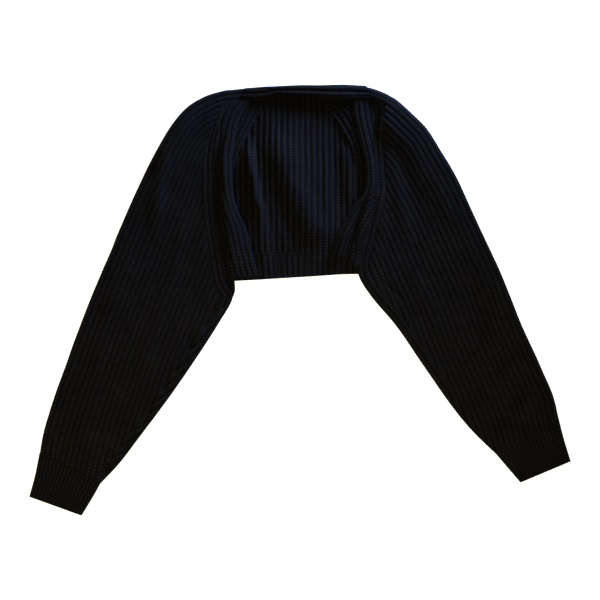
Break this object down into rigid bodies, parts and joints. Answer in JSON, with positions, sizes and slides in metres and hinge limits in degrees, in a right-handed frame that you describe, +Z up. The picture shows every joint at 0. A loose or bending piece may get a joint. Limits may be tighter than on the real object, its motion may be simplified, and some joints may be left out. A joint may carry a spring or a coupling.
{
  "type": "knitted shrug",
  "caption": "Cropped long-sleeved ribbed knit shrug laid flat and open, with narrow fronts, a rolled neckband and rib cuffs and hem.",
  "frame": {"origin": "centre of the laid-out shrug's outline, on the surface that it lies on", "axes": "+X across the shrug from cuff to cuff, +Y up the back from hem to neck, +Z up from the surface, towards the viewer"},
  "size_m": [0.814, 0.6465, 0.0193],
  "materials": {
    "body_rib_knit": "black wool-blend fisherman's rib, matte with a faint fuzz",
    "sleeve_rib_knit": "black wool-blend fisherman's rib, matte with a faint fuzz",
    "fine_rib_knit": "black finer rib, matte and slightly tighter",
    "neckband_knit": "black rolled rib band, matte with a soft sheen at the fold"
  },
  "bodies": {
    "root": {"back": "body_rib_knit", "front_left": "body_rib_knit", "front_right": "body_rib_knit", "sleeve_left": "sleeve_rib_knit", "sleeve_right": "sleeve_rib_knit", "cuff_left": "fine_rib_knit", "cuff_right": "fine_rib_knit", "back_hem": "fine_rib_knit", "neckband_left": "neckband_knit", "neckband_right": "neckband_knit"}
  },
  "joints": []
}
